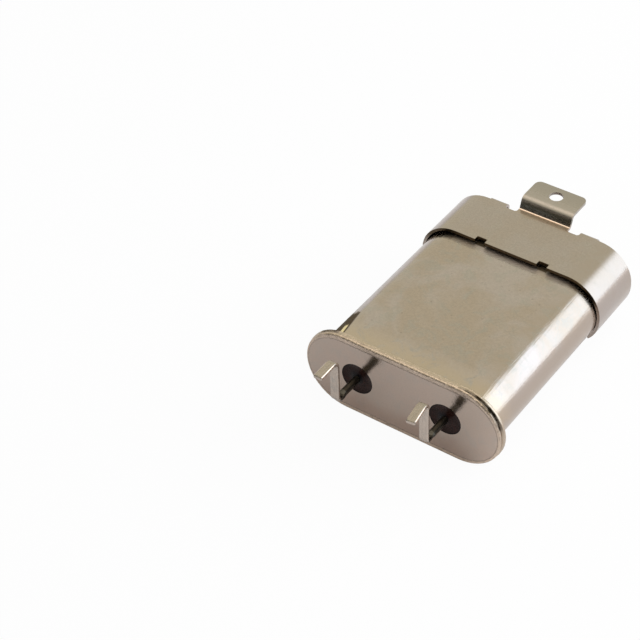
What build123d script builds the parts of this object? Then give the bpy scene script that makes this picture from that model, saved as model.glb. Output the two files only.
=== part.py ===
from build123d import *
import os
from math import cos, radians, sin, sqrt

# Metal-can quartz crystal unit with two joggled leads and a folded mounting clip.
# All sizes are in millimetres. X runs across the can, Y runs along it, Z is up.
# The origin is the centre of the base plate's outer face, midway between the leads.
# The leads point to -Y and the clip's tab to +Y.

# Can: a deep drawn cup with half round ends and a flange round its mouth
can_width = 9.8
can_thickness = 3.43
can_depth = 12.58
can_wall = 0.2
can_edge_radius = 0.3
flange_thickness = 0.26
flange_end_overhang = 0.53
flange_side_overhang = 0.41
flange_root_radius = 0.2
flange_edge_radius = 0.06

# Base plate: a stamped plate with a raised middle that centres the can
base_end_overhang = 0.48
base_side_overhang = 0.53
base_thickness = 0.22
base_edge_radius = 0.12
boss_depth = 0.8
boss_clearance = 0.08
boss_edge_radius = 0.08
seam_radius = 0.09

# Glass beads and leads
lead_pitch = 4.88
lead_diameter = 0.38
bead_diameter = 1.72
bead_meniscus = 0.05
lead_standoff = 1.75
left_lead_reach = 3.12
right_lead_reach = 3.2
left_lead_splay = -1.5
right_lead_splay = 8.0
lead_flat_width = 0.47
lead_flat_thickness = 0.2
lead_flat_edge_radius = 0.08
lead_flat_start = 0.45
lead_flatten_length = 0.2
lead_bend_radius = 0.35
lead_tip_chamfer = 0.03
lead_stub = 0.4
lead_head_diameter = 0.95
lead_head_thickness = 0.12

# Height of the mounting plane above the middle of the can: the outer faces of the
# tab and of both flattened lead ends lie in it
mounting_height = 2.64

# Mounting clip: one folded strip of spring sheet
clip_sheet = 0.15
clip_front = 9.7
clip_rear_overhang = 0.08
clip_plate_gap = 0.16
clip_arm_gap = 0.03
clip_arm_wrap = 42.0
clip_lip = 0.22
clip_corner_radius = 0.25
front_notch_spacing = 3.49
front_notch_width = 0.55
front_notch_depth = 0.28
tab_width = 2.88
tab_crease_setback = 0.17
tab_riser_run = 0.23
tab_reach = 1.9
tab_bend_radius = 0.26
tab_crease_radius = 0.12
tab_corner_radius = 0.32
tab_hole_diameter = 0.72
tab_hole_margin = 0.67
finger_width = 0.95
finger_spacing = 5.14
finger_depth = 2.0
finger_gap = 0.2
finger_tip_gap = 0.05
finger_bend_radius = 0.2
rear_notch_depth = 0.2
notch_corner_radius = 0.14

# Quartz blank, electrode films, cement dots and the springs that hold the blank
blank_diameter = 8.0
blank_thickness = 0.17
blank_centre = 6.6
blank_flat_depth = 0.2
electrode_diameter = 4.6
electrode_tail_width = 0.9
electrode_film = 0.02
spring_sheet = 0.1
spring_width = 1.0
spring_bend_radius = 0.2
spring_top_margin = 0.6
slot_clearance = 0.03
cement_radius = 0.42

# Values worked out from the sizes above
base_width = can_width + 2 * base_end_overhang
base_height = can_thickness + 2 * base_side_overhang
flange_width = can_width + 2 * flange_end_overhang
flange_height = can_thickness + 2 * flange_side_overhang
can_half = can_thickness / 2
end_offset = can_width / 2 - can_half
can_mouth = base_thickness
can_end = can_mouth + can_depth
bore_width = can_width - 2 * can_wall
bore_thickness = can_thickness - 2 * can_wall
boss_face = base_thickness + boss_depth
lead_radius = lead_diameter / 2
lead_level = mounting_height - lead_flat_thickness / 2
lead_inner_end = boss_face + lead_stub
half_sheet = clip_sheet / 2
clip_rear = can_end + clip_rear_overhang
plate_level = can_half + clip_plate_gap + half_sheet
tab_level = mounting_height - half_sheet
tab_end = clip_rear + tab_reach
blank_radius = blank_diameter / 2
spring_x = blank_radius - spring_sheet / 2
spring_inner_x = blank_radius - spring_sheet
sides = {"left": -1, "right": 1}


def section_at(y):
    """Plane across the can at y: its x runs along X and its y along Z."""
    return Plane(origin=(0, y, 0), x_dir=(1, 0, 0), z_dir=(0, -1, 0))


def side_at(x):
    """Plane along the can at x: its x runs along Y and its y along Z."""
    return Plane(origin=(x, 0, 0), x_dir=(0, 1, 0), z_dir=(1, 0, 0))


def plan_at(level):
    """Horizontal plane at a level above the middle of the can."""
    return Plane.XY.offset(level)


# Base plate with its two bead holes
with BuildPart() as base_plate:
    with BuildSketch(section_at(0)):
        SlotOverall(base_width, base_height)
    extrude(amount=-base_thickness)
    fillet(base_plate.edges().group_by(Axis.Y)[0], base_edge_radius)
    fillet(base_plate.edges().group_by(Axis.Y)[-1], seam_radius)
    with BuildSketch(section_at(base_thickness)):
        SlotOverall(bore_width - 2 * boss_clearance, bore_thickness - 2 * boss_clearance)
    extrude(amount=-boss_depth)
    fillet(base_plate.edges().group_by(Axis.Y)[-1], boss_edge_radius)
    with BuildSketch(section_at(0)):
        with Locations((-lead_pitch / 2, 0), (lead_pitch / 2, 0)):
            Circle(bead_diameter / 2)
    extrude(amount=-boss_face, mode=Mode.SUBTRACT)
base_plate.part.label = "base_plate"

# Can: flange, drawn wall and closed end, hollowed to its wall thickness
with BuildPart() as can:
    with BuildSketch(section_at(can_mouth)):
        SlotOverall(flange_width, flange_height)
    extrude(amount=-flange_thickness)
    fillet(can.edges().group_by(Axis.Y)[0], seam_radius)
    fillet(can.edges().group_by(Axis.Y)[-1], flange_edge_radius)
    with BuildSketch(section_at(can_mouth)):
        SlotOverall(can_width, can_thickness)
    extrude(amount=-can_depth)
    fillet(can.edges(Select.NEW), flange_root_radius)
    fillet(can.edges().group_by(Axis.Y)[-1], can_edge_radius)
    with BuildSketch(section_at(can_mouth)):
        SlotOverall(bore_width, bore_thickness)
    extrude(amount=-(can_depth - can_wall), mode=Mode.SUBTRACT)
    bore_end = can.edges().filter_by(lambda e: abs(e.center().Y - can_end + can_wall) < can_wall / 4)
    fillet(bore_end, can_edge_radius - can_wall)
can.part.label = "can"


def make_bead(x):
    """Glass bead that fills one hole of the base plate, dished at both faces."""
    axis = Axis((x, 0, 0), (0, 1, 0))
    outer = bead_diameter / 2
    middle = (outer + lead_radius) / 2
    dish_floor = boss_face - bead_meniscus
    with BuildPart() as bead:
        with BuildSketch(Plane(origin=(x, 0, 0), x_dir=(1, 0, 0), z_dir=(0, 0, 1))):
            with BuildLine():
                ThreePointArc((lead_radius, 0), (middle, bead_meniscus), (outer, 0))
                Line((outer, 0), (outer, boss_face))
                ThreePointArc((outer, boss_face), (middle, dish_floor), (lead_radius, boss_face))
                Line((lead_radius, boss_face), (lead_radius, 0))
            make_face()
        revolve(axis=axis)
    return bead


def make_lead(x, splay, reach):
    """Round wire through a bead, flattened where it joggles up to the mounting plane."""
    lean = sin(radians(splay)) * (1 if x > 0 else -1)
    ahead = -cos(radians(splay))
    run = (reach - lead_standoff) / cos(radians(splay))
    # Upright plane of the joggle: x runs out along the lead's end and y along Z
    joggle = Plane(origin=(x, -lead_standoff, 0), x_dir=(lean, ahead, 0), z_dir=(ahead, -lean, 0))
    joggle_points = [(-lead_flat_start, 0), (0, 0), (0, lead_level), (run, lead_level)]
    with BuildPart() as lead:
        with BuildLine(joggle) as route:
            FilletPolyline(*joggle_points, radius=lead_bend_radius)
        flat_start = Plane(origin=route.line @ 0, x_dir=joggle.z_dir, z_dir=route.line % 0)
        with BuildSketch(flat_start):
            RectangleRounded(lead_flat_width, lead_flat_thickness, lead_flat_edge_radius)
        sweep()
        chamfer(lead.faces().sort_by(Axis.Y)[0].edges(), lead_tip_chamfer)
        round_end = lead_standoff - lead_flat_start - lead_flatten_length
        with BuildSketch(section_at(-round_end)):
            with Locations((x, 0)):
                Circle(lead_radius)
        with BuildSketch(flat_start):
            RectangleRounded(lead_flat_width, lead_flat_thickness, lead_flat_edge_radius)
        loft()
        with BuildSketch(section_at(lead_inner_end)):
            with Locations((x, 0)):
                Circle(lead_radius)
        extrude(amount=lead_inner_end + round_end)
        with BuildSketch(section_at(lead_inner_end)):
            with Locations((x, 0)):
                Circle(lead_head_diameter / 2)
        extrude(amount=lead_head_thickness)
    return lead


# Glass beads
bead_left = make_bead(-lead_pitch / 2)
bead_left.part.label = "glass_bead_left"
bead_right = make_bead(lead_pitch / 2)
bead_right.part.label = "glass_bead_right"

# Leads
lead_left = make_lead(-lead_pitch / 2, left_lead_splay, left_lead_reach)
lead_left.part.label = "lead_left"
lead_right = make_lead(lead_pitch / 2, right_lead_splay, right_lead_reach)
lead_right.part.label = "lead_right"

# Mounting clip. The arms follow the round ends of the can at the arm gap and the
# plate stands off the broad face by the plate gap.
arm_radius = can_half + clip_arm_gap + half_sheet
arm_side = end_offset + arm_radius
plate_length = clip_rear - clip_front
finger_face = can_end + finger_gap + half_sheet
finger_tip = can_end + finger_tip_gap + half_sheet
tab_crease = clip_rear + tab_crease_setback

with BuildPart() as clip:
    # Plate, round arms and their straight lips, as one bent strip
    with BuildSketch(section_at(clip_front)):
        with BuildLine():
            FilletPolyline(
                (-arm_side, 0),
                (-arm_side, plate_level),
                (arm_side, plate_level),
                (arm_side, 0),
                radius=arm_radius,
            )
            right_arm = CenterArc((end_offset, 0), arm_radius, 0, -clip_arm_wrap)
            left_arm = CenterArc((-end_offset, 0), arm_radius, 180, clip_arm_wrap)
            Line(right_arm @ 1, right_arm @ 1 + (right_arm % 1) * clip_lip)
            Line(left_arm @ 1, left_arm @ 1 + (left_arm % 1) * clip_lip)
        trace(line_width=clip_sheet)
    extrude(amount=-plate_length)
    lip_corners = clip.edges().filter_by(lambda e: e.length < 1.1 * clip_sheet).group_by(Axis.Z)[0]
    fillet(lip_corners, clip_corner_radius)
    # Two relief notches in the front edge, two behind between the tab and the fingers
    rear_notch_inner = tab_width / 2
    rear_notch_outer = (finger_spacing - finger_width) / 2
    rear_notch_width = rear_notch_outer - rear_notch_inner
    with BuildSketch(plan_at(0)):
        for side in (-1, 1):
            with Locations((side * front_notch_spacing / 2, clip_front)):
                RectangleRounded(front_notch_width, 2 * front_notch_depth, notch_corner_radius)
            with Locations((side * (rear_notch_inner + rear_notch_width / 2), clip_rear)):
                RectangleRounded(rear_notch_width, 2 * rear_notch_depth, notch_corner_radius)
    extrude(amount=mounting_height, mode=Mode.SUBTRACT)
    # Fingers, bent down over the closed end of the can
    for side in (-1, 1):
        with BuildSketch(side_at(side * finger_spacing / 2 - finger_width / 2)):
            with BuildLine():
                FilletPolyline(
                    (clip_rear - clip_sheet, plate_level),
                    (finger_face, plate_level),
                    (finger_tip, plate_level - finger_depth),
                    radius=finger_bend_radius,
                )
            trace(line_width=clip_sheet)
        extrude(amount=finger_width)
    # Tab, joggled up to the mounting plane
    with BuildSketch(side_at(-tab_width / 2)):
        with BuildLine():
            FilletPolyline(
                (clip_rear - clip_sheet, plate_level),
                (tab_crease, plate_level),
                (tab_crease + tab_riser_run, tab_level),
                (tab_end, tab_level),
                radius=[tab_crease_radius, tab_bend_radius],
            )
        trace(line_width=clip_sheet)
    extrude(amount=tab_width)
    tab_corners = clip.edges().filter_by(Axis.Z).group_by(Axis.Y)[-1]
    fillet(tab_corners, tab_corner_radius)
    with BuildSketch(plan_at(tab_level)):
        with Locations((0, tab_end - tab_hole_margin)):
            Circle(tab_hole_diameter / 2)
    extrude(amount=clip_sheet, both=True, mode=Mode.SUBTRACT)
clip.part.label = "mounting_clip"

# Quartz blank: a thin disc with an orientation flat
with BuildPart() as blank:
    with BuildSketch(plan_at(-blank_thickness / 2)):
        with Locations((0, blank_centre)):
            Circle(blank_radius)
        with Locations((0, blank_centre + blank_radius)):
            Rectangle(blank_diameter, 2 * blank_flat_depth, mode=Mode.SUBTRACT)
    extrude(amount=blank_thickness)
blank.part.label = "quartz_blank"


def make_electrode(side, level):
    """Film disc with a tail that runs out to the spring on one side."""
    with BuildPart() as film:
        with BuildSketch(plan_at(level)):
            with Locations((0, blank_centre)):
                Circle(electrode_diameter / 2)
            with Locations((side * spring_inner_x / 2, blank_centre)):
                Rectangle(spring_inner_x, electrode_tail_width)
        extrude(amount=electrode_film)
    return film


# Electrode films, one on each face of the blank
electrode_top = make_electrode(sides["left"], blank_thickness / 2)
electrode_top.part.label = "electrode_top"
electrode_bottom = make_electrode(sides["right"], -blank_thickness / 2 - electrode_film)
electrode_bottom.part.label = "electrode_bottom"


def make_spring(side):
    """Strip welded to a lead's inner head, with a slot that holds the blank's edge."""
    foot_end = lead_pitch / 2 - lead_head_diameter / 2
    foot_level = lead_inner_end + spring_sheet / 2
    spring_top = blank_centre + spring_width + spring_top_margin
    half_chord = sqrt(blank_radius**2 - spring_inner_x**2) + slot_clearance
    with BuildPart() as spring:
        with BuildSketch(plan_at(-spring_width / 2)):
            with BuildLine():
                FilletPolyline(
                    (side * foot_end, foot_level),
                    (side * spring_x, foot_level),
                    (side * spring_x, spring_top),
                    radius=spring_bend_radius,
                )
            trace(line_width=spring_sheet)
        extrude(amount=spring_width)
        with BuildSketch(plan_at(-blank_thickness / 2 - slot_clearance)):
            with Locations((side * spring_x, blank_centre)):
                Rectangle(2 * spring_sheet, 2 * half_chord)
        extrude(amount=blank_thickness + 2 * slot_clearance, mode=Mode.SUBTRACT)
    return spring


# Springs that stand on the leads and hold the blank
spring_left = make_spring(sides["left"])
spring_left.part.label = "support_spring_left"
spring_right = make_spring(sides["right"])
spring_right.part.label = "support_spring_right"


def make_cement(side, face):
    """Quarter ball of conductive cement in the corner of a spring and its electrode tail."""
    level = face * (blank_thickness / 2 + electrode_film)
    corner = (side * spring_inner_x, blank_centre, level)
    with BuildPart() as cement:
        with Locations(corner):
            Sphere(cement_radius)
        split(bisect_by=Plane(origin=corner, z_dir=(-side, 0, 0)), keep=Keep.TOP)
        split(bisect_by=Plane(origin=corner, z_dir=(0, 0, face)), keep=Keep.TOP)
    return cement


# Cement dots
cement_left = make_cement(sides["left"], 1)
cement_left.part.label = "cement_left"
cement_right = make_cement(sides["right"], -1)
cement_right.part.label = "cement_right"

# One file for each piece
os.makedirs("parts", exist_ok=True)
export_step(base_plate.part, "parts/base_plate.step")
export_step(can.part, "parts/can.step")
export_step(bead_left.part, "parts/glass_bead_left.step")
export_step(bead_right.part, "parts/glass_bead_right.step")
export_step(lead_left.part, "parts/lead_left.step")
export_step(lead_right.part, "parts/lead_right.step")
export_step(clip.part, "parts/mounting_clip.step")
export_step(blank.part, "parts/quartz_blank.step")
export_step(electrode_top.part, "parts/electrode_top.step")
export_step(electrode_bottom.part, "parts/electrode_bottom.step")
export_step(spring_left.part, "parts/support_spring_left.step")
export_step(spring_right.part, "parts/support_spring_right.step")
export_step(cement_left.part, "parts/cement_left.step")
export_step(cement_right.part, "parts/cement_right.step")
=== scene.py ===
"""Quartz crystal unit in a flat metal can, dressed for a studio picture.

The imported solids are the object. This file gives each of them its finish and sets up the
floor, the light and the camera. It is laid out as an add-on: each group of pieces has an
operator and a panel button.
"""

import math

import bpy
from bpy.props import FloatProperty, FloatVectorProperty, PointerProperty
from mathutils import Matrix, Vector


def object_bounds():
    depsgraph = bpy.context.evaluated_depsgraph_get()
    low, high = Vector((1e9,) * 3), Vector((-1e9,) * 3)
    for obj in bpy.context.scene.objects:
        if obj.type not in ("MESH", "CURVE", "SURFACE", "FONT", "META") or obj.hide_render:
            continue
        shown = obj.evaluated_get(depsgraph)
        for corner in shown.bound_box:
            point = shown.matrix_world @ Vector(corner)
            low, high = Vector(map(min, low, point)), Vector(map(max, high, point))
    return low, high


bl_info = {
    "name": "Crystal unit",
    "version": (1, 0, 0),
    "blender": (4, 5, 0),
    "location": "View3D > Sidebar > Crystal unit",
    "description": "Dresses a metal-can quartz crystal unit with a mounting clip",
    "category": "Object",
}

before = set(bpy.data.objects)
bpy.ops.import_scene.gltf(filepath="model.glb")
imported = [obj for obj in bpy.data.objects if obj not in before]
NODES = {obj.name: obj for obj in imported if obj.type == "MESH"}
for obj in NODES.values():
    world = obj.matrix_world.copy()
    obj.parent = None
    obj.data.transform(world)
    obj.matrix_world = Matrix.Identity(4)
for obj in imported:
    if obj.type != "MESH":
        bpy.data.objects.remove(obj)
CAD_BOX = [list(corner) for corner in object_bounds()]

# Camera, fitted to the photograph: it looks down at 42 degrees, 37 degrees round to the right
# of the base plate. Its rows point right, up and back.
CAMERA_AT = (0.034560, -0.051894, 0.060480)
CAMERA_ROWS = (
    (0.81536, 0.57809, -0.03152),
    (-0.36543, 0.55611, 0.74646),
    (0.44905, -0.59712, 0.66469),
)
CAMERA_LENS = 105.2
SENSOR_WIDTH = 36.0

# Scales
MM_PER_METRE = 1000.0
MICRON = 0.000001

# The light tent, in degrees: height above the middle, and turn round the upright axis
TENT_TOP = (52.0, 66.0)
OPEN_TURN = (-85.0, 85.0)
OPEN_HEIGHT = (-40.0, 35.0)
BOX_TURN = (27.0, 88.0)
BOX_HEIGHT = (-40.0, 44.0)

# Places on the part in millimetres: X across it, Y along it and Z up. A pair gives the two ends
# of a mask or of its edge. An X that holds for both sides is measured from the middle.
RIGHT_END_X = (2.9, 3.6)
WEDGE_X = (2.9, 3.8)
WEDGE_Z = (0.25, 1.1)

# Can
STRAW_Z = (0.3, 1.3)
WELD_TINT_Y = (0.9, 2.3)
SCALD_X = (-4.6, -3.6)
SCALD_Y = (0.4, 2.72)
SCALD_Z = (0.0, 0.3)
GOLD_X = (-3.875, -3.70)
GOLD_Y = (0.8, 1.6)
FLANGE_Y = (-1.0, 0.56)
SEAM_Y = (0.0, 0.33)
NOTCH_X = (1.46, 2.03)
CLIP_LIP_Y = (9.70, 10.1)
FLAT_X = (2.4, 4.0)
DULL_Y = (9.2, 9.45)

# Base plate: half its straight run, and distances out from the middle line of its slot shape
BASE_HALF_RUN = 3.29
RIM_EDGE = (1.97, 2.02)
RIM_LINE = (1.945, 1.985)
LOW_FACE_Z = (-0.2, -1.3)
MIDDLE_X = (2.2, 4.6)
PLATE_BACK_Y = (0.08, 0.11)

# Beads, by the distance from the wire's axis, and leads
LEAD_X = 2.44
BEAD_CORE = (0.30, 0.62)
BEAD_RIM = (0.76, 0.83)
LEAD_OXIDE_Y = (-1.73, -1.62)
LEAD_FOOT_Y = (-3.08, -2.12)
LEAD_FOOT_Z = (2.5, 2.63)
LEAD_TOP_Z = (2.5, 2.6)

# Clip: its plate and its lip, then its tab
CLIP_HALF_RUN = 3.185
SHEET_MIDDLE = (1.80, 1.84)
LOW_END_Z = (0.5, 1.3)
CLIP_FRONT_Y = (9.705, 9.715)
NOTCH_BACK_Y = (9.985, 9.995)
NOTCH_Z = (0.0, 0.2)
TAB_FOOT_X = (1.3, 2.1)
TAB_FOOT_Y = (12.7, 13.0)
RISER_Y = (12.86, 12.9)
RISER_Z = (2.08, 2.36)
CREASE_X = (1.42, 1.45)
CREASE_Y = (12.93, 13.2)
CREASE_Z = (2.06, 2.10)
BEND_Y = (13.4, 14.2)
BEND_Z = (2.25, 2.35)
TAB_Z = (2.35, 2.55)
TAB_END_Y = (13.6, 14.7)
TAB_HOLE_Y = 14.11
HOLE_WALL = (0.365, 0.375)
HOLE_Z = (2.3, 2.4)


# Colours and light that a user would change

COLOUR = {"subtype": "COLOR", "size": 4, "min": 0.0, "max": 1.0}
LIGHT = {"subtype": "COLOR", "size": 4, "min": 0.0}
SHARE = {"subtype": "FACTOR", "min": 0.0, "max": 1.0}


class CrystalColours(bpy.types.PropertyGroup):
    """Colours of the finishes, in linear light"""

    nickel: FloatVectorProperty(
        name="Can nickel", description="Satin plating of the can",
        default=(0.505, 0.438, 0.41, 1.0), **COLOUR,
    )
    # Real straw stain in the plating; also painted low on the can as a warm reflection of the floor
    straw_stain_and_painted_tint: FloatVectorProperty(
        name="Straw stain and painted tint", description="Straw coloured stain in the plating, also painted low on the can as a warm reflection",
        default=(0.505, 0.42, 0.355, 1.0), **COLOUR,
    )
    olive_stain: FloatVectorProperty(
        name="Olive stain", description="Grey green stain in the plating",
        default=(0.445, 0.415, 0.38, 1.0), **COLOUR,
    )
    gold_streak: FloatVectorProperty(
        name="Gold streak", description="Gold coloured scald beside the flange",
        default=(1.0, 0.84, 0.48, 1.0), **COLOUR,
    )
    weld_tint: FloatVectorProperty(
        name="Weld tint", description="Warm tint beside the welded seam",
        default=(0.58, 0.47, 0.36, 1.0), **COLOUR,
    )
    # Real dark dirt for pits, the scald and rim gaps; also painted shade in the notches, the base plate's fine
    # groove and on the clip's cut edge
    dirt_and_shade: FloatVectorProperty(
        name="Dirt and shade", description="Dark colour of pits, the scald and rim gaps, and painted shade in notches, the rim groove and on cut edges",
        default=(0.075, 0.05, 0.02, 1.0), **COLOUR,
    )
    # Painted shade for the seam between the base plate and the can
    seam_shade: FloatVectorProperty(
        name="Seam shade", description="Painted shade in the seam between the base plate and the can",
        default=(0.014, 0.009, 0.003, 1.0), **COLOUR,
    )
    clip_nickel: FloatVectorProperty(
        name="Clip nickel", description="Plating of the mounting clip",
        default=(0.47, 0.407, 0.372, 1.0), **COLOUR,
    )
    heat_straw: FloatVectorProperty(
        name="Heat straw", description="Straw heat tint near the folds of the clip",
        default=(0.52, 0.39, 0.27, 1.0), **COLOUR,
    )
    # Painted highlight for the tab's crease and the edges of the lead ends
    painted_highlight: FloatVectorProperty(
        name="Crease and edge highlight", description="Painted highlight in the tab's crease and on the edges of the lead ends",
        default=(0.93, 0.76, 0.64, 1.0), **COLOUR,
    )
    # Painted dark reflection for the tab's riser
    riser_shade: FloatVectorProperty(
        name="Riser shade", description="Painted dark reflection on the upright part of the tab",
        default=(0.16, 0.165, 0.13, 1.0), **COLOUR,
    )
    base_nickel: FloatVectorProperty(
        name="Base nickel", description="Bright plating of the base plate",
        default=(0.525, 0.42, 0.355, 1.0), **COLOUR,
    )
    # Painted shade for the lower base plate, its reflected shadow
    low_shade: FloatVectorProperty(
        name="Low shade", description="Painted brown shade on the lower part of the base plate, its reflected shadow",
        default=(0.93, 0.87, 0.85, 1.0), **COLOUR,
    )
    rim_cream: FloatVectorProperty(
        name="Rim cream", description="Rough pale metal on the coined rim",
        default=(0.72, 0.58, 0.47, 1.0), **COLOUR,
    )
    lead_plating: FloatVectorProperty(
        name="Lead plating", description="Bright plating of the formed lead ends",
        default=(0.56, 0.475, 0.41, 1.0), **COLOUR,
    )
    lead_oxide: FloatVectorProperty(
        name="Lead oxide", description="Dark oxide on the wire beside the glass",
        default=(0.088, 0.08, 0.068, 1.0), **COLOUR,
    )
    bead_glass: FloatVectorProperty(
        name="Bead glass", description="Dark brown sealing glass",
        default=(0.027, 0.0095, 0.007, 1.0), **COLOUR,
    )
    bead_shade: FloatVectorProperty(
        name="Bead shade", description="Blue black shade in the sealing glass",
        default=(0.008, 0.007, 0.0085, 1.0), **COLOUR,
    )
    quartz: FloatVectorProperty(
        name="Quartz", description="Clear quartz of the blank",
        default=(0.9, 0.93, 0.94, 1.0), **COLOUR,
    )
    silver: FloatVectorProperty(
        name="Electrode silver", description="Evaporated silver of the electrodes",
        default=(0.86, 0.85, 0.81, 1.0), **COLOUR,
    )
    silver_haze: FloatVectorProperty(
        name="Silver haze", description="Tarnish haze on the silver",
        default=(0.66, 0.6, 0.5, 1.0), **COLOUR,
    )
    spring_nickel: FloatVectorProperty(
        name="Spring nickel", description="Rolled nickel of the springs",
        default=(0.6, 0.57, 0.51, 1.0), **COLOUR,
    )
    cement: FloatVectorProperty(
        name="Silver cement", description="Cured silver cement",
        default=(0.36, 0.35, 0.33, 1.0), **COLOUR,
    )


class CrystalStudio(bpy.types.PropertyGroup):
    """Floor, tent and lamps"""

    floor_size: FloatProperty(
        name="Floor", description="Side of the floor",
        subtype="DISTANCE", unit="LENGTH", min=0.1, default=2.0,
    )
    floor_glow: FloatProperty(
        name="Floor whiteness",
        description="Share of plain white that the camera sees in the floor, which lightens the shadow",
        default=0.95, **SHARE,
    )
    floor_mirror: FloatProperty(
        name="Floor in mirrors", description="Share of plain white that metal and glass see in the floor",
        default=0.15, **SHARE,
    )
    tent_radius: FloatProperty(
        name="Tent radius", description="Radius of the light tent that the metal reflects",
        subtype="DISTANCE", unit="LENGTH", min=0.1, default=0.35,
    )
    ambient: FloatProperty(
        name="Ambient", description="Level of the light from all round", min=0.0, default=0.5,
    )
    key_power: FloatProperty(
        name="Key power", description="Power of the softbox behind on the right",
        unit="POWER", min=0.0, default=0.21,
    )
    top_power: FloatProperty(
        name="Top power", description="Power of the softbox overhead",
        unit="POWER", min=0.0, default=0.085,
    )
    wall: FloatVectorProperty(
        name="Tent wall", description="Light from the cloth wall",
        default=(0.762, 0.75, 0.61, 1.0), **LIGHT,
    )
    softbox: FloatVectorProperty(
        name="Softbox", description="Light from the softbox that the metal reflects",
        default=(1.95, 2.2, 2.4, 1.0), **LIGHT,
    )
    overhead: FloatVectorProperty(
        name="Overhead", description="Light from the top of the tent",
        default=(1.6, 1.5, 1.3, 1.0), **LIGHT,
    )
    dark_front: FloatVectorProperty(
        name="Dark front", description="Light from the open front of the tent",
        default=(0.045, 0.048, 0.045, 1.0), **LIGHT,
    )


# Node helpers; each takes the node's place in the editor's grid as (column, row)


def add_node(tree, kind, at, **settings):
    """Adds one node at a grid place and sets its fields."""
    made = tree.nodes.new(kind)
    made.location = (at[0] * 200, at[1] * -180)
    for name, value in settings.items():
        setattr(made, name, value)
    return made


def empty_tree(owner):
    """Turns a material's or world's nodes on and clears them; returns the tree."""
    owner.use_nodes = True
    owner.node_tree.nodes.clear()
    return owner.node_tree


def new_material(name):
    """An empty node material with its output and a Principled shader."""
    made = bpy.data.materials.new(name)
    tree = empty_tree(made)
    out = add_node(tree, "ShaderNodeOutputMaterial", (8, 0))
    shader = add_node(tree, "ShaderNodeBsdfPrincipled", (6, 0))
    tree.links.new(shader.outputs["BSDF"], out.inputs["Surface"])
    return made, tree, shader


def finish_nodes(material, *names):
    """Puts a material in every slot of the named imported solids."""
    for name in names:
        for slot in NODES[name].material_slots:
            slot.material = material


def feed(tree, socket, value):
    """Links an output to an input, or sets the input to a plain value."""
    if isinstance(value, bpy.types.NodeSocket):
        tree.links.new(value, socket)
    else:
        socket.default_value = value


def maths(tree, at, operation, *values):
    """A Math node; returns its output."""
    made = add_node(tree, "ShaderNodeMath", at, operation=operation)
    for socket, value in zip(made.inputs, values):
        feed(tree, socket, value)
    return made.outputs[0]


def times(tree, at, first, second):
    return maths(tree, at, "MULTIPLY", first, second)


def plus(tree, at, first, second):
    return maths(tree, at, "ADD", first, second)


def minus(tree, at, first, second):
    return maths(tree, at, "SUBTRACT", first, second)


def size_of(tree, at, value):
    """A value without its sign."""
    return maths(tree, at, "ABSOLUTE", value)


def distance(tree, at, first, second):
    """How far away a point is, from its two steps at right angles."""
    column, row = at
    squares = (
        times(tree, (column - 2, row + 1), first, first),
        times(tree, (column - 2, row + 2), second, second),
    )
    return maths(tree, at, "SQRT", plus(tree, (column - 1, row), *squares))


def ramp(tree, at, value, low, high, out_low=0.0, out_high=1.0, smooth=True):
    """Spreads a value from one range to another; returns the result."""
    made = add_node(tree, "ShaderNodeMapRange", at)
    made.interpolation_type = "SMOOTHSTEP" if smooth else "LINEAR"
    for name, entry in zip(
        ("Value", "From Min", "From Max", "To Min", "To Max"), (value, low, high, out_low, out_high)
    ):
        feed(tree, made.inputs[name], entry)
    return made.outputs["Result"]


def vary(tree, at, mask, low, high, smooth=True):
    """Low where a mask is 0 and high where it is 1."""
    return ramp(tree, at, mask, 0.0, 1.0, low, high, smooth)


def noise(tree, at, where, scale, detail, rough, twist=0.0):
    """A Noise texture; returns its value."""
    made = add_node(tree, "ShaderNodeTexNoise", at)
    for name, entry in zip(
        ("Vector", "Scale", "Detail", "Roughness", "Distortion"), (where, scale, detail, rough, twist)
    ):
        feed(tree, made.inputs[name], entry)
    return made.outputs[0]


def blend(tree, at, factor, first, second, kind="MIX"):
    """Mixes two colours; returns the mixed colour."""
    made = add_node(tree, "ShaderNodeMix", at, data_type="RGBA", blend_type=kind)
    feed(tree, made.inputs[0], factor)
    feed(tree, made.inputs[6], first)
    feed(tree, made.inputs[7], second)
    return made.outputs[2]


def shaded(tree, at, colour, shade):
    """A colour times a shade."""
    return blend(tree, at, 1.0, colour, shade, "MULTIPLY")


def place_group(tree, at, name, **values):
    """Places a shared node group and feeds its inputs; returns its outputs."""
    made = add_node(tree, "ShaderNodeGroup", at)
    made.node_tree = bpy.data.node_groups[name]
    for key, value in values.items():
        feed(tree, made.inputs[key.replace("_", " ").title()], value)
    return made.outputs


def band(tree, at, value, low, high, softness):
    """Mask that is 1 between two values, with soft ends."""
    return place_group(tree, at, "band", value=value, low=low, high=high, softness=softness)[0]


def new_group(name, inputs, outputs):
    """An empty shader node group with named sockets."""
    group = bpy.data.node_groups.new(name, "ShaderNodeTree")
    kinds = {"value": "NodeSocketFloat", "vector": "NodeSocketVector"}
    for label, kind, default in inputs:
        socket = group.interface.new_socket(label, in_out="INPUT", socket_type=kinds[kind])
        socket.default_value = default
    for label in outputs:
        group.interface.new_socket(label, in_out="OUTPUT", socket_type=kinds["value"])
    return group, add_node(group, "NodeGroupInput", (-2, 0)), add_node(group, "NodeGroupOutput", (8, 0))


def split_vector(tree, at, vector):
    """The x, y and z of a vector."""
    made = add_node(tree, "ShaderNodeSeparateXYZ", at)
    tree.links.new(vector, made.inputs[0])
    return made.outputs


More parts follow.
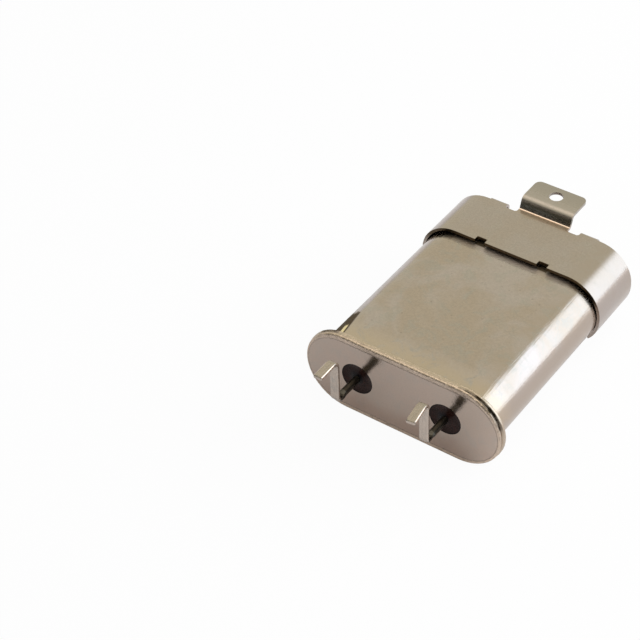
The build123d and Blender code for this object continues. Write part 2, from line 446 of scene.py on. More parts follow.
def millimetres(tree):
    """Object coordinates in millimetres, and the same split in x, y and z."""
    where = add_node(tree, "ShaderNodeTexCoord", (-6, 0))
    scale = add_node(tree, "ShaderNodeVectorMath", (-5, 0), operation="SCALE")
    scale.inputs["Scale"].default_value = MM_PER_METRE
    tree.links.new(where.outputs["Object"], scale.inputs[0])
    return scale.outputs[0], *split_vector(tree, (-4, 2), scale.outputs[0])


def dress(tree, shader, colour, rough, metallic=1.0):
    """Feeds a colour, a roughness and a share of metal to the shader."""
    feed(tree, shader.inputs["Base Color"], colour)
    feed(tree, shader.inputs["Roughness"], rough)
    feed(tree, shader.inputs["Metallic"], metallic)


def bump(tree, shader, at, height, distance_m):
    """Feeds a height, times a distance in metres, to the shader's normal."""
    made = add_node(tree, "ShaderNodeBump", at)
    made.inputs["Distance"].default_value = distance_m
    made.inputs["Strength"].default_value = 1.0
    tree.links.new(height, made.inputs["Height"])
    tree.links.new(made.outputs["Normal"], shader.inputs["Normal"])


def worn_shade(tree, x, grain, cloud, depth):
    """Light and dark by grain and cloud, with less grain on the rubbed right end."""
    dark = ramp(tree, (-2, 2), x, *RIGHT_END_X, 0.94, 0.985)
    light = ramp(tree, (-2, 3), x, *RIGHT_END_X, 1.06, 1.015)
    fine = vary(tree, (-1, 2), grain, dark, light, smooth=False)
    wide = vary(tree, (-1, 3), cloud, 1.0 + depth, 1.0 - depth, smooth=False)
    return times(tree, (0, 2), fine, wide)


# Patterns that the finishes share


def make_band_group():
    """Mask that is 1 between two values, with soft ends."""
    group, given, out = new_group(
        "band",
        [("Value", "value", 0.0), ("Low", "value", 0.0), ("High", "value", 1.0), ("Softness", "value", 0.1)],
        ["Mask"],
    )
    value, low, high, soft = (given.outputs[n] for n in ("Value", "Low", "High", "Softness"))
    before, after = minus(group, (0, 0), low, soft), plus(group, (0, 1), low, soft)
    rise = ramp(group, (2, 0), value, before, after)
    before, after = minus(group, (0, 2), high, soft), plus(group, (0, 3), high, soft)
    fall = ramp(group, (2, 2), value, before, after, 1.0, 0.0)
    group.links.new(times(group, (4, 0), rise, fall), out.inputs["Mask"])


def make_plating_group():
    """Masks of old plating: wide clouds, blotches, fine grain and small pits."""
    group, given, out = new_group(
        "old_plating",
        [("Vector", "vector", (0, 0, 0)), ("Scale", "value", 1.0)],
        ["Cloud", "Blotch", "Grain", "Pits"],
    )
    where, scale = given.outputs["Vector"], given.outputs["Scale"]
    for label, size, detail, rough, twist, low, high, row in (
        ("Cloud", 0.30, 3.0, 0.6, 0.5, 0.38, 0.62, 0),
        ("Blotch", 1.15, 6.0, 0.68, 0.9, 0.46, 0.66, 2),
        ("Grain", 8.0, 3.0, 0.7, 0.0, 0.25, 0.75, 4),
    ):
        level = noise(group, (2, row), where, times(group, (0, row), scale, size), detail, rough, twist)
        group.links.new(ramp(group, (4, row), level, low, high), out.inputs[label])

    # Pits: the middles of some of the cells
    cells = add_node(group, "ShaderNodeTexVoronoi", (2, 6))
    group.links.new(where, cells.inputs["Vector"])
    group.links.new(times(group, (0, 6), scale, 2.3), cells.inputs["Scale"])
    near = ramp(group, (4, 6), cells.outputs["Distance"], 0.08, 0.16, 1.0, 0.0)
    pick = add_node(group, "ShaderNodeSeparateColor", (3, 7))
    group.links.new(cells.outputs["Color"], pick.inputs[0])
    chosen = maths(group, (4, 7), "GREATER_THAN", pick.outputs[0], 0.62)
    group.links.new(times(group, (6, 6), near, chosen), out.inputs["Pits"])


def make_lines_group():
    """Long fine lines, as drawing and brushing leave them, along one stretched direction."""
    group, given, out = new_group(
        "drawn_lines",
        [("Vector", "vector", (0, 0, 0)), ("Stretch", "vector", (1, 1, 1))],
        ["Lines"],
    )
    squeeze = add_node(group, "ShaderNodeVectorMath", (0, 0), operation="MULTIPLY")
    group.links.new(given.outputs["Vector"], squeeze.inputs[0])
    group.links.new(given.outputs["Stretch"], squeeze.inputs[1])
    level = noise(group, (2, 0), squeeze.outputs[0], 1.0, 4.0, 0.6)
    group.links.new(ramp(group, (4, 0), level, 0.3, 0.7), out.inputs["Lines"])


def make_flecks_group():
    """Small irregular pale flecks, as on coined or weld-splashed metal, and dark gaps between them."""
    group, given, out = new_group(
        "rim_flecks",
        [("Vector", "vector", (0, 0, 0)), ("Scale", "value", 1.0)],
        ["Flecks", "Gaps"],
    )
    scale = times(group, (0, 0), given.outputs["Scale"], 3.6)
    level = noise(group, (2, 0), given.outputs["Vector"], scale, 2.0, 0.7)
    group.links.new(ramp(group, (4, 0), level, 0.50, 0.60), out.inputs["Flecks"])
    group.links.new(ramp(group, (4, 1), level, 0.44, 0.36), out.inputs["Gaps"])


def make_slot_group():
    """Distance from the middle line of a slot shape that lies along X."""
    group, given, out = new_group(
        "slot_distance",
        [("Vector", "vector", (0, 0, 0)), ("Half Length", "value", 3.0)],
        ["Distance"],
    )
    x, _, z = split_vector(group, (-1, 1), given.outputs["Vector"])
    beyond = minus(group, (1, 0), size_of(group, (0, 0), x), given.outputs["Half Length"])
    past = maths(group, (2, 0), "MAXIMUM", beyond, 0.0)
    group.links.new(distance(group, (5, 0), past, z), out.inputs["Distance"])


def make_seam_shade_group():
    """How much painted shade the seam gets: some all round, most of it high on the right."""
    group, given, out = new_group("seam_shade_group", [("Vector", "vector", (0, 0, 0))], ["Residue"])
    x, _, z = split_vector(group, (-1, 1), given.outputs["Vector"])
    right = ramp(group, (1, 0), x, *WEDGE_X)
    high = ramp(group, (1, 1), z, *WEDGE_Z)
    cloud = noise(group, (1, 2), given.outputs["Vector"], 2.4, 2.0, 0.5)
    patchy = ramp(group, (2, 2), cloud, 0.35, 0.65, 0.7, 1.0)
    level = ramp(group, (4, 0), times(group, (3, 0), right, high), 0.0, 0.8, 0.12, 0.98, smooth=False)
    group.links.new(times(group, (5, 0), level, patchy), out.inputs["Residue"])


class CRYSTAL_OT_patterns(bpy.types.Operator):
    """Patterns that the finishes share"""

    bl_idname = "crystal.patterns"
    bl_label = "Patterns"

    def execute(self, context):
        make_band_group()
        make_plating_group()
        make_lines_group()
        make_flecks_group()
        make_slot_group()
        make_seam_shade_group()
        return {"FINISHED"}


# Stage


class CRYSTAL_OT_stage(bpy.types.Operator):
    """Floor, light tent, softboxes and the camera at the photographed angle"""

    bl_idname = "crystal.stage"
    bl_label = "Stage"

    def execute(self, context):
        scene = context.scene
        studio = scene.crystal_studio

        lens = bpy.data.cameras.new("camera")
        lens.lens = CAMERA_LENS
        lens.sensor_width = SENSOR_WIDTH
        lens.clip_start = 0.001
        lens.clip_end = 10.0
        camera = bpy.data.objects.new("camera", lens)
        scene.collection.objects.link(camera)
        camera.matrix_world = Matrix.Translation(CAMERA_AT) @ Matrix(CAMERA_ROWS).transposed().to_4x4()
        scene.camera = camera

        self.floor(context, studio)
        scene.world = self.surroundings(studio)
        self.tent(context, studio)

        # One softbox low behind on the right and one overhead; metal sees the tent in their place
        self.softbox(
            context, "key_softbox", azimuth=45, elevation=20, away=0.15, size=(0.15, 0.105), power=studio.key_power
        )
        self.softbox(
            context, "top_softbox", azimuth=45, elevation=75, away=0.18, size=(0.12, 0.12), power=studio.top_power
        )

        scene.view_settings.view_transform = "Standard"
        return {"FINISHED"}

    def floor(self, context, studio):
        """White paper under the object, lighter to the camera than its shadow would make it."""
        bpy.ops.object.select_all(action="DESELECT")
        bpy.ops.mesh.primitive_plane_add(size=studio.floor_size, location=(0, 0, CAD_BOX[0][2]))
        floor = context.active_object
        floor.name = "floor"
        white = bpy.data.materials.new("white_floor")
        tree = empty_tree(white)
        paper = add_node(tree, "ShaderNodeBsdfDiffuse", (1, 0))
        paper.inputs["Color"].default_value = (0.92, 0.92, 0.92, 1)
        glow = add_node(tree, "ShaderNodeEmission", (1, 1))
        path = add_node(tree, "ShaderNodeLightPath", (0, 2)).outputs
        mirrored = maths(tree, (1, 3), "MAXIMUM", path["Is Glossy Ray"], path["Is Transmission Ray"])
        share = maths(
            tree, (2, 2), "MAXIMUM",
            times(tree, (1, 2), path["Is Camera Ray"], studio.floor_glow),
            times(tree, (2, 3), mirrored, studio.floor_mirror),
        )
        self.mix_out(tree, "ShaderNodeOutputMaterial", share, paper, glow)
        floor.data.materials.append(white)

    def surroundings(self, studio):
        """A world that is white where it is seen, and softer where it lights."""
        world = bpy.data.worlds.new("studio")
        tree = empty_tree(world)
        soft = add_node(tree, "ShaderNodeBackground", (1, 0))
        soft.inputs["Strength"].default_value = studio.ambient
        seen = add_node(tree, "ShaderNodeBackground", (1, 1))
        seen.inputs["Color"].default_value = (1, 1, 1, 1)
        path = add_node(tree, "ShaderNodeLightPath", (0, 2)).outputs
        both = maths(tree, (1, 2), "MAXIMUM", path["Is Camera Ray"], path["Is Glossy Ray"])
        every = maths(tree, (2, 2), "MAXIMUM", both, path["Is Transmission Ray"])
        self.mix_out(tree, "ShaderNodeOutputWorld", every, soft, seen)
        return world

    def mix_out(self, tree, kind, share, first, second):
        """Mixes two shaders into an output node."""
        mix = add_node(tree, "ShaderNodeMixShader", (3, 0))
        tree.links.new(share, mix.inputs["Fac"])
        tree.links.new(first.outputs[0], mix.inputs[1])
        tree.links.new(second.outputs[0], mix.inputs[2])
        tree.links.new(mix.outputs[0], add_node(tree, kind, (4, 0)).inputs["Surface"])

    def tent(self, context, studio):
        """The upper half of a ball of cloth, which only mirror reflections see."""
        bpy.ops.object.select_all(action="DESELECT")
        bpy.ops.mesh.primitive_uv_sphere_add(
            segments=64, ring_count=32, radius=studio.tent_radius, location=(0, 0, 0)
        )
        tent = context.active_object
        tent.name = "light_tent"
        bpy.ops.object.mode_set(mode="EDIT")
        bpy.ops.mesh.select_all(action="SELECT")
        bpy.ops.mesh.bisect(plane_co=(0, 0, 0), plane_no=(0, 0, -1), clear_outer=True)
        bpy.ops.object.mode_set(mode="OBJECT")
        tent.data.materials.append(self.tent_cloth(studio))
        tent.visible_camera = False
        tent.visible_diffuse = False
        tent.visible_shadow = False
        tent.visible_transmission = False

    def tent_cloth(self, studio):
        """Cream wall, a bright softbox behind on the right, a bright top and a dark open front."""
        cloth = bpy.data.materials.new("tent_cloth")
        tree = empty_tree(cloth)
        where = add_node(tree, "ShaderNodeTexCoord", (-6, 0))
        aim = add_node(tree, "ShaderNodeVectorMath", (-5, 0), operation="NORMALIZE")
        tree.links.new(where.outputs["Object"], aim.inputs[0])
        x, y, z = split_vector(tree, (-4, 0), aim.outputs[0])

        # Degrees above the middle, round from +Y towards +X, and round from -Y towards -X
        in_degrees = math.degrees(1)
        height = times(tree, (-2, 0), maths(tree, (-3, 0), "ARCSINE", z), in_degrees)
        turn = times(tree, (-2, 1), maths(tree, (-3, 1), "ARCTAN2", x, y), in_degrees)
        away_x, away_y = times(tree, (-4, 2), x, -1.0), times(tree, (-4, 3), y, -1.0)
        front = times(tree, (-2, 2), maths(tree, (-3, 2), "ARCTAN2", away_x, away_y), in_degrees)

        top = ramp(tree, (0, 0), height, *TENT_TOP)
        colour = blend(tree, (1, 0), top, studio.wall, studio.overhead)
        open_turn = band(tree, (0, 2), front, *OPEN_TURN, 18.0)
        open_height = band(tree, (0, 3), height, *OPEN_HEIGHT, 8.0)
        colour = blend(tree, (2, 0), times(tree, (1, 2), open_turn, open_height), colour, studio.dark_front)
        box_turn = band(tree, (0, 5), turn, *BOX_TURN, 7.0)
        box_height = band(tree, (0, 6), height, *BOX_HEIGHT, 4.0)
        colour = blend(tree, (3, 0), times(tree, (1, 5), box_turn, box_height), colour, studio.softbox)

        glow = add_node(tree, "ShaderNodeEmission", (4, 0))
        tree.links.new(colour, glow.inputs["Color"])
        out = add_node(tree, "ShaderNodeOutputMaterial", (5, 0))
        tree.links.new(glow.outputs[0], out.inputs["Surface"])
        cloth.cycles.emission_sampling = "NONE"
        return cloth

    def softbox(self, context, name, azimuth, elevation, away, size, power):
        """A rectangular lamp that faces the object, azimuth measured from +Y towards +X."""
        lamp = bpy.data.lights.new(name, "AREA")
        lamp.shape = "RECTANGLE"
        lamp.size, lamp.size_y = size
        lamp.energy = power
        made = bpy.data.objects.new(name, lamp)
        context.scene.collection.objects.link(made)
        a, e = math.radians(azimuth), math.radians(elevation)
        out = Vector((math.sin(a) * math.cos(e), math.cos(a) * math.cos(e), math.sin(e)))
        made.location = out * away
        made.rotation_mode = "QUATERNION"
        made.rotation_quaternion = out.to_track_quat("Z", "Y")
        made.visible_glossy = False


# Pieces


class CRYSTAL_OT_can(bpy.types.Operator):
    """Stained satin nickel on the drawn can, with a tinted flange"""

    bl_idname = "crystal.can"
    bl_label = "Can"

    def execute(self, context):
        colours = context.scene.crystal_colours
        made, tree, shader = new_material("satin_can_nickel")
        where, x, y, z = millimetres(tree)
        aside = size_of(tree, (-3, 22), x)
        cloud, blotch, grain, pits = place_group(tree, (-3, 0), "old_plating", vector=where, scale=1.0)
        lines = place_group(tree, (-3, 4), "drawn_lines", vector=where, stretch=(7.0, 0.5, 7.0))[0]

        # Stains, then shading by cloud and grain, and pits, which fade towards the rubbed right end
        colour = blend(tree, (-1, 0), cloud, colours.nickel, colours.straw_stain_and_painted_tint)
        colour = blend(tree, (0, 0), times(tree, (-1, 1), blotch, 0.6), colour, colours.olive_stain)
        colour = shaded(tree, (1, 0), colour, worn_shade(tree, x, grain, cloud, 0.035))
        pits_and_edge_shade = times(tree, (1, 1), pits, ramp(tree, (0, 1), x, *RIGHT_END_X, 0.16, 0.03))
        colour = blend(tree, (2, 0), pits_and_edge_shade, colour, colours.dirt_and_shade)

        # A straw tint painted low on the can as a warm reflection of the floor, and a warm tint with an uneven
        # edge beside the seam
        low = ramp(tree, (1, 3), z, *STRAW_Z, 0.9, 0.0)
        colour = blend(tree, (2, 1), low, colour, colours.straw_stain_and_painted_tint)
        uneven = plus(tree, (-2, 6), y, times(tree, (-3, 6), blotch, 0.9))
        beside = ramp(tree, (-1, 6), uneven, *WELD_TINT_Y, 0.75, 0.0)
        colour = blend(tree, (3, 0), beside, colour, colours.weld_tint)

        # Dark scald with a gold core at the left end, next to the flange
        along = plus(tree, (-2, 16), y, times(tree, (-3, 16), grain, 0.2))
        from_left = plus(tree, (-2, 17), x, times(tree, (-3, 17), y, 0.15))
        upper = ramp(tree, (0, 20), z, *SCALD_Z)
        dark_long = band(tree, (-1, 16), along, *SCALD_Y, 0.12)
        dark_wide = band(tree, (-1, 17), from_left, *SCALD_X, 0.05)
        scald = times(tree, (0, 16), dark_long, times(tree, (0, 17), dark_wide, upper))
        colour = blend(tree, (4, 0), times(tree, (1, 16), scald, 0.97), colour, colours.dirt_and_shade)
        gold_long = band(tree, (-1, 18), along, *GOLD_Y, 0.12)
        gold_wide = band(tree, (-1, 19), from_left, *GOLD_X, 0.03)
        core = times(tree, (0, 18), gold_long, times(tree, (0, 19), gold_wide, upper))
        colour = blend(tree, (4, 1), core, colour, colours.gold_streak)

        # Pale flecks on the flange, and painted shade in the seam, most of it high on the right
        flecks = place_group(tree, (-3, 8), "rim_flecks", vector=where, scale=1.1)[0]
        on_flange = band(tree, (-1, 8), y, *FLANGE_Y, 0.05)
        pale = times(tree, (0, 8), on_flange, times(tree, (-1, 9), flecks, 0.3))
        colour = blend(tree, (5, 0), pale, colour, colours.rim_cream)
        seam_shade_level = place_group(tree, (-2, 10), "seam_shade_group", vector=where)[0]
        held = times(tree, (0, 10), band(tree, (-1, 10), y, *SEAM_Y, 0.02), seam_shade_level)
        colour = blend(tree, (5, 1), held, colour, colours.seam_shade)

        # Painted shade on the can under the two front notches of the clip
        near_notch = band(tree, (-1, 22), aside, *NOTCH_X, 0.04)
        held = times(tree, (0, 22), near_notch, band(tree, (-1, 23), y, *CLIP_LIP_Y, 0.04))
        colour = blend(tree, (5, 2), times(tree, (1, 22), held, 0.85), colour, colours.dirt_and_shade)

        # The scald round its gold core is a dull crust, and the flat face is duller near the clip
        crust = minus(tree, (2, 18), scald, core)
        even, coarse = vary(tree, (0, 4), blotch, 0.15, 0.19), times(tree, (0, 5), on_flange, 0.12)
        on_flat = ramp(tree, (0, 7), aside, *FLAT_X, 1.0, 0.35)
        dulled = times(tree, (1, 6), ramp(tree, (0, 6), y, *DULL_Y, 0.0, 0.3), on_flat)
        rough = plus(tree, (2, 4), plus(tree, (1, 4), even, coarse), dulled)
        rough = plus(tree, (3, 4), rough, times(tree, (2, 5), crust, 0.75))
        dress(tree, shader, colour, rough, vary(tree, (3, 18), crust, 1.0, 0.0))

        wave = plus(tree, (1, 12), times(tree, (0, 12), lines, 0.7), times(tree, (0, 13), grain, 0.05))
        wave = minus(tree, (2, 12), wave, times(tree, (1, 13), pits, 0.15))
        splashes = times(tree, (1, 14), flecks, on_flange)
        wave = plus(tree, (3, 12), wave, times(tree, (2, 13), splashes, 1.2))
        bump(tree, shader, (5, 12), wave, 4 * MICRON)
        finish_nodes(made, "can")
        return {"FINISHED"}


class CRYSTAL_OT_base_plate(bpy.types.Operator):
    """Bright nickel on the stamped base plate, with a coined rim"""

    bl_idname = "crystal.base_plate"
    bl_label = "Base plate"

    def execute(self, context):
        colours = context.scene.crystal_colours
        made, tree, shader = new_material("bright_base_nickel")
        where, x, y, z = millimetres(tree)
        cloud, blotch, grain, _ = place_group(tree, (-3, 0), "old_plating", vector=where, scale=1.4)
        clouded = times(tree, (-2, 1), cloud, 0.35)
        colour = blend(tree, (-1, 0), clouded, colours.base_nickel, colours.straw_stain_and_painted_tint)
        colour = blend(tree, (0, 0), times(tree, (-1, 1), blotch, 0.25), colour, colours.olive_stain)
        colour = shaded(tree, (1, 0), colour, vary(tree, (-1, 2), grain, 0.97, 1.03, smooth=False))

        # Brown painted shade low on the face, where it reflects the part's own shadow; less towards the ends
        height = plus(tree, (-1, 15), z, times(tree, (-2, 15), cloud, 0.5))
        middle = ramp(tree, (0, 16), size_of(tree, (-1, 16), x), *MIDDLE_X, 1.0, 0.3)
        low = times(tree, (1, 15), ramp(tree, (0, 15), height, *LOW_FACE_Z), middle)
        colour = blend(tree, (1, 1), low, colour, shaded(tree, (0, 17), colour, colours.low_shade))

        # Coined rim: painted shade in a fine groove round the face, pale flecks and dark gaps outside it
        away = place_group(tree, (-3, 4), "slot_distance", vector=where, half_length=BASE_HALF_RUN)[0]
        flecks, gaps = place_group(tree, (-3, 6), "rim_flecks", vector=where, scale=1.0)
        ragged = plus(tree, (-2, 5), away, times(tree, (-3, 5), grain, 0.03))
        outside = ramp(tree, (-1, 4), ragged, *RIM_EDGE)
        colour = blend(tree, (2, 0), times(tree, (1, 3), outside, 0.35), colour, colours.weld_tint)
        pale = times(tree, (0, 4), outside, vary(tree, (-1, 5), flecks, 0.45, 0.8))
        colour = blend(tree, (3, 0), pale, colour, colours.rim_cream)
        dark = times(tree, (0, 6), outside, times(tree, (-1, 6), gaps, 0.25))
        colour = blend(tree, (4, 0), dark, colour, colours.dirt_and_shade)
        line = band(tree, (-1, 7), ragged, *RIM_LINE, 0.02)
        colour = blend(tree, (5, 0), times(tree, (0, 7), line, 0.25), colour, colours.dirt_and_shade)

        # Painted shade on the back edge, in the seam
        seam_shade_level = place_group(tree, (-2, 9), "seam_shade_group", vector=where)[0]
        held = times(tree, (0, 9), ramp(tree, (-1, 9), y, *PLATE_BACK_Y), seam_shade_level)
        colour = blend(tree, (6, 0), held, colour, colours.seam_shade)

        even, coarse = vary(tree, (1, 4), blotch, 0.15, 0.2), times(tree, (1, 5), outside, 0.26)
        dress(tree, shader, colour, plus(tree, (2, 4), even, coarse))
        wave = plus(tree, (2, 12), times(tree, (1, 12), grain, 0.12), times(tree, (1, 13), blotch, 0.3))
        splashes = times(tree, (1, 14), flecks, outside)
        wave = plus(tree, (3, 12), wave, times(tree, (2, 13), splashes, 2.5))
        wave = minus(tree, (4, 12), wave, times(tree, (3, 13), line, 3.0))
        bump(tree, shader, (5, 12), wave, 4 * MICRON)
        finish_nodes(made, "base_plate")
        return {"FINISHED"}


class CRYSTAL_OT_beads(bpy.types.Operator):
    """Dark glass of the two bead seals"""

    bl_idname = "crystal.beads"
    bl_label = "Glass beads"

    def execute(self, context):
        colours = context.scene.crystal_colours
        made, tree, shader = new_material("dark_bead_glass")
        where, x, _, z = millimetres(tree)
        cloud, blotch, grain, _ = place_group(tree, (-3, 0), "old_plating", vector=where, scale=1.8)

        # Blue black towards the wire, brown at the rim, as the light falls into the glass
        side = minus(tree, (-3, 3), size_of(tree, (-4, 3), x), LEAD_X)
        away = distance(tree, (-1, 3), side, z)
        uneven = plus(tree, (0, 5), away, times(tree, (-1, 6), cloud, 0.25))
        inner = ramp(tree, (0, 3), uneven, *BEAD_CORE, 1.0, 0.0)
        colour = blend(tree, (1, 0), inner, colours.bead_glass, colours.bead_shade)
        mottle = vary(tree, (0, 2), blotch, 0.8, 1.25, smooth=False)
        at_rim = ramp(tree, (0, 4), away, *BEAD_RIM, 1.0, 0.3)
        colour = shaded(tree, (2, 0), colour, times(tree, (1, 2), mottle, at_rim))
        dress(tree, shader, colour, vary(tree, (2, 2), grain, 0.22, 0.36), metallic=0.0)
        shader.inputs["Specular IOR Level"].default_value = 0.12
        bump(tree, shader, (4, 4), blotch, 6 * MICRON)
        finish_nodes(made, "glass_bead_left", "glass_bead_right")
        return {"FINISHED"}


class CRYSTAL_OT_leads(bpy.types.Operator):
    """Plated, flattened lead ends and the dark oxide next to the glass"""

    bl_idname = "crystal.leads"
    bl_label = "Leads"

    def execute(self, context):
        colours = context.scene.crystal_colours
        made, tree, shader = new_material("plated_lead_wire")
        where, _, y, z = millimetres(tree)
        cloud, blotch, grain, _ = place_group(tree, (-3, 0), "old_plating", vector=where, scale=3.0)
        lines = place_group(tree, (-3, 4), "drawn_lines", vector=where, stretch=(16.0, 1.2, 1.2))[0]
        stained = times(tree, (-1, 1), blotch, 0.5)
        colour = blend(tree, (0, 0), stained, colours.lead_plating, colours.olive_stain)
        # Drawn lines vary the plating; painted shade darkens the top faces of the flattened ends
        shade = vary(tree, (-1, 2), lines, 0.9, 1.05, smooth=False)
        shade = times(tree, (0, 3), shade, ramp(tree, (-1, 3), z, *LEAD_TOP_Z, 1.0, 0.84))
        colour = shaded(tree, (1, 0), colour, shade)

        # Oxide from the glass to the upright, and up the side of the upright that faces the can
        reach = plus(tree, (-1, 6), y, times(tree, (-2, 7), cloud, 0.05))
        oxide = ramp(tree, (0, 6), reach, *LEAD_OXIDE_Y)
        colour = blend(tree, (2, 0), oxide, colour, colours.lead_oxide)

        # Painted highlight along the edges of the flattened ends
        below_top = band(tree, (-1, 9), z, *LEAD_FOOT_Z, 0.006)
        edges = times(tree, (0, 9), below_top, band(tree, (-1, 10), y, *LEAD_FOOT_Y, 0.03))
        colour = blend(tree, (3, 0), times(tree, (1, 9), edges, 0.85), colour, colours.painted_highlight)

        even, coarse = vary(tree, (1, 4), grain, 0.22, 0.3), times(tree, (1, 5), oxide, 0.08)
        dress(tree, shader, colour, plus(tree, (2, 4), even, coarse))
        wave = plus(tree, (2, 8), lines, times(tree, (1, 8), blotch, 0.6))
        bump(tree, shader, (5, 8), wave, 5 * MICRON)
        finish_nodes(made, "lead_left", "lead_right")
        return {"FINISHED"}


class CRYSTAL_OT_clip(bpy.types.Operator):
    """Satin nickel on the folded mounting clip, with heat tints, painted shade on its cut edges, notches and tab
    end, a painted dark reflection on the riser and a painted highlight in the crease
    """

    bl_idname = "crystal.clip"
    bl_label = "Mounting clip"

    def execute(self, context):
        colours = context.scene.crystal_colours
        made, tree, shader = new_material("satin_clip_nickel")
        where, x, y, z = millimetres(tree)
        aside = size_of(tree, (-3, 7), x)
        cloud, blotch, grain, _ = place_group(tree, (-3, 0), "old_plating", vector=where, scale=1.25)
        lines = place_group(tree, (-3, 4), "drawn_lines", vector=where, stretch=(0.6, 9.0, 0.6))[0]
        clouded = times(tree, (-2, 1), cloud, 0.5)
        colour = blend(tree, (-1, 0), clouded, colours.clip_nickel, colours.straw_stain_and_painted_tint)
        colour = blend(tree, (0, 0), times(tree, (-1, 1), blotch, 0.25), colour, colours.olive_stain)
        colour = shaded(tree, (1, 0), colour, worn_shade(tree, x, grain, cloud, 0.025))

        # Straw tint at the foot of the tab
        uneven = plus(tree, (-2, 6), y, times(tree, (-3, 6), blotch, 0.25))
        across = ramp(tree, (-1, 7), aside, *TAB_FOOT_X, 1.0, 0.0)
        tint = times(tree, (0, 6), band(tree, (-1, 6), uneven, *TAB_FOOT_Y, 0.2), across)
        colour = blend(tree, (2, 0), times(tree, (1, 6), tint, 0.4), colour, colours.heat_straw)

        # Painted dark reflection on the riser of the tab, with a ragged top
        rise = plus(tree, (-2, 14), z, times(tree, (-3, 14), grain, -0.10))
        past = ramp(tree, (-1, 15), y, *RISER_Y)
        stain = times(tree, (0, 14), band(tree, (-1, 14), rise, *RISER_Z, 0.03), past)
        colour = blend(tree, (3, 1), times(tree, (1, 14), stain, 0.75), colour, colours.riser_shade)

        # Painted highlight line in the crease at the foot of the riser
        below = ramp(tree, (-1, 25), z, *CREASE_Z, 1.0, 0.0)
        inside = ramp(tree, (-1, 26), aside, *CREASE_X, 1.0, 0.0)
        crease = band(tree, (-1, 24), y, *CREASE_Y, 0.02)
        bright = times(tree, (0, 24), crease, times(tree, (0, 25), below, inside))
        colour = blend(tree, (3, 2), bright, colour, colours.painted_highlight)

        # Brown on the front cut edge: partly the bare edge's own colour, partly painted shade of the dark line
        # along the gap; darker towards its outer side, pale low on the ends
        thick = place_group(tree, (-3, 9), "slot_distance", vector=where, half_length=CLIP_HALF_RUN)[0]
        edge_colour_and_shade = ramp(tree, (-1, 10), thick, *SHEET_MIDDLE, 0.55, 0.97)
        edge_colour_and_shade = plus(tree, (0, 10), edge_colour_and_shade, times(tree, (-1, 12), grain, -0.15))
        pits_and_edge_shade = times(tree, (0, 11), ramp(tree, (-1, 11), z, *LOW_END_Z, 0.15, 1.0), edge_colour_and_shade)
        edge = times(tree, (1, 9), ramp(tree, (0, 9), y, *CLIP_FRONT_Y, 1.0, 0.0), pits_and_edge_shade)
        colour = blend(tree, (3, 0), edge, colour, colours.dirt_and_shade)

        # Painted shade on the walls of the front notches
        near_notch = band(tree, (-1, 28), aside, *NOTCH_X, 0.005)
        before = ramp(tree, (-1, 29), y, *NOTCH_BACK_Y, 1.0, 0.0)
        upper = times(tree, (0, 29), before, ramp(tree, (-1, 30), z, *NOTCH_Z))
        walls = times(tree, (0, 28), near_notch, upper)
        colour = blend(tree, (3, 3), times(tree, (1, 28), walls, 0.85), colour, colours.dirt_and_shade)

        # The tab is greyer than the plate, and painted shade darkens it towards its end
        on_tab = ramp(tree, (-1, 32), z, *TAB_Z, 0.0, 0.5)
        colour = blend(tree, (3, 4), on_tab, colour, colours.olive_stain)
        colour = shaded(tree, (3, 5), colour, ramp(tree, (-1, 31), y, *TAB_END_Y, 1.0, 0.92))

        # The wall of the hole and the tab's bend are rougher
        hole = distance(tree, (-1, 20), x, minus(tree, (-4, 20), y, TAB_HOLE_Y))
        near_hole = ramp(tree, (0, 20), hole, *HOLE_WALL, 0.4, 0.0)
        bored = times(tree, (1, 20), near_hole, ramp(tree, (0, 21), z, *HOLE_Z))
        over_bend = ramp(tree, (-1, 34), y, *BEND_Y, 0.22, 0.0)
        bend = times(tree, (0, 33), ramp(tree, (-1, 33), z, *BEND_Z), over_bend)
        even, coarse = vary(tree, (0, 4), blotch, 0.17, 0.24), plus(tree, (1, 33), bored, bend)
        dress(tree, shader, colour, plus(tree, (1, 4), even, coarse))
        wave = plus(tree, (2, 12), times(tree, (1, 12), lines, 0.3), times(tree, (1, 13), grain, 0.08))
        bump(tree, shader, (5, 12), wave, 4 * MICRON)
        finish_nodes(made, "mounting_clip")
        return {"FINISHED"}


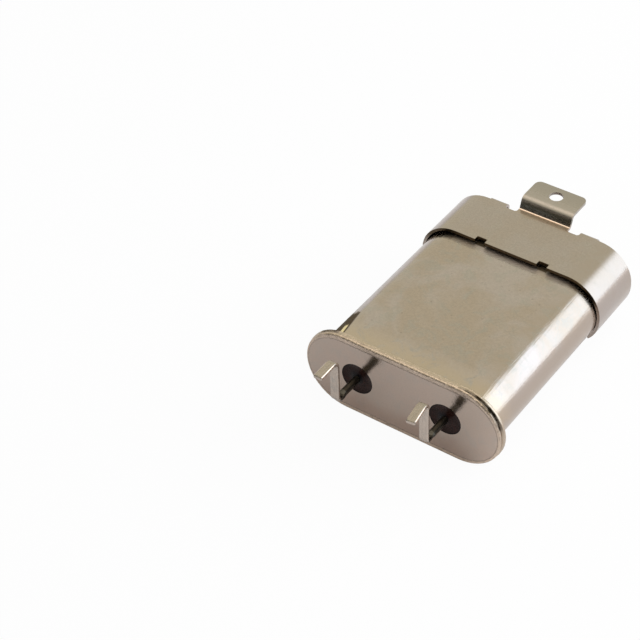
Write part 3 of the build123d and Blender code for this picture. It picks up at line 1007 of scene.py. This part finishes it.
class CRYSTAL_OT_resonator(bpy.types.Operator):
    """Quartz blank, silver electrodes, springs and cement inside the can"""

    bl_idname = "crystal.resonator"
    bl_label = "Resonator"

    def execute(self, context):
        colours = context.scene.crystal_colours

        # Quartz: clear, finely lapped
        made, tree, shader = new_material("lapped_quartz")
        where = millimetres(tree)[0]
        cloud, _, grain, _ = place_group(tree, (-3, 0), "old_plating", vector=where, scale=1.0)
        colour = shaded(tree, (0, 0), colours.quartz, vary(tree, (-1, 0), cloud, 0.94, 1.0, smooth=False))
        dress(tree, shader, colour, vary(tree, (0, 2), grain, 0.10, 0.22), metallic=0.0)
        shader.inputs["Transmission Weight"].default_value = 0.9
        shader.inputs["IOR"].default_value = 1.54
        bump(tree, shader, (4, 4), grain, MICRON)
        finish_nodes(made, "quartz_blank")

        # Silver films with a little tarnish
        made, tree, shader = new_material("evaporated_silver")
        where = millimetres(tree)[0]
        cloud, blotch, grain, _ = place_group(tree, (-3, 0), "old_plating", vector=where, scale=0.8)
        colour = blend(tree, (0, 0), times(tree, (-1, 0), cloud, 0.5), colours.silver, colours.silver_haze)
        dress(tree, shader, colour, vary(tree, (0, 2), blotch, 0.14, 0.3))
        bump(tree, shader, (4, 4), grain, MICRON)
        finish_nodes(made, "electrode_top", "electrode_bottom")

        # Rolled strip of the springs
        made, tree, shader = new_material("rolled_spring_strip")
        where = millimetres(tree)[0]
        blotch = place_group(tree, (-3, 0), "old_plating", vector=where, scale=2.0)["Blotch"]
        lines = place_group(tree, (-3, 2), "drawn_lines", vector=where, stretch=(1.0, 0.8, 14.0))[0]
        shade = vary(tree, (-1, 0), lines, 0.85, 1.05, smooth=False)
        colour = shaded(tree, (0, 0), colours.spring_nickel, shade)
        dress(tree, shader, colour, vary(tree, (0, 2), blotch, 0.2, 0.34))
        bump(tree, shader, (4, 4), lines, 3 * MICRON)
        finish_nodes(made, "support_spring_left", "support_spring_right")

        # Cement: grey paste with bright flakes
        made, tree, shader = new_material("silver_filled_cement")
        where = millimetres(tree)[0]
        flecks = place_group(tree, (-3, 0), "rim_flecks", vector=where, scale=5.0)[0]
        flakes = times(tree, (-1, 0), flecks, 0.6)
        colour = blend(tree, (0, 0), flakes, colours.cement, colours.silver)
        dress(tree, shader, colour, vary(tree, (0, 2), flecks, 0.7, 0.4), flakes)
        bump(tree, shader, (4, 4), flecks, 10 * MICRON)
        finish_nodes(made, "cement_left", "cement_right")
        return {"FINISHED"}


class CRYSTAL_PT_panel(bpy.types.Panel):
    """Lists the stage and the pieces"""

    bl_idname = "CRYSTAL_PT_panel"
    bl_label = "Crystal unit"
    bl_space_type = "VIEW_3D"
    bl_region_type = "UI"
    bl_category = "Crystal unit"

    def draw(self, context):
        for kind in OPERATORS:
            self.layout.operator(kind.bl_idname)


GROUPS = (CrystalColours, CrystalStudio)
OPERATORS = (
    CRYSTAL_OT_patterns,
    CRYSTAL_OT_stage,
    CRYSTAL_OT_can,
    CRYSTAL_OT_base_plate,
    CRYSTAL_OT_beads,
    CRYSTAL_OT_leads,
    CRYSTAL_OT_clip,
    CRYSTAL_OT_resonator,
)


def register():
    for kind in (*GROUPS, *OPERATORS, CRYSTAL_PT_panel):
        bpy.utils.register_class(kind)
    bpy.types.Scene.crystal_colours = PointerProperty(type=CrystalColours)
    bpy.types.Scene.crystal_studio = PointerProperty(type=CrystalStudio)


def unregister():
    del bpy.types.Scene.crystal_studio
    del bpy.types.Scene.crystal_colours
    for kind in reversed((*GROUPS, *OPERATORS, CRYSTAL_PT_panel)):
        bpy.utils.unregister_class(kind)


def main():
    register()
    bpy.ops.crystal.patterns()
    bpy.ops.crystal.stage()
    bpy.ops.crystal.can()
    bpy.ops.crystal.base_plate()
    bpy.ops.crystal.beads()
    bpy.ops.crystal.leads()
    bpy.ops.crystal.clip()
    bpy.ops.crystal.resonator()


if __name__ == "__main__":
    main()
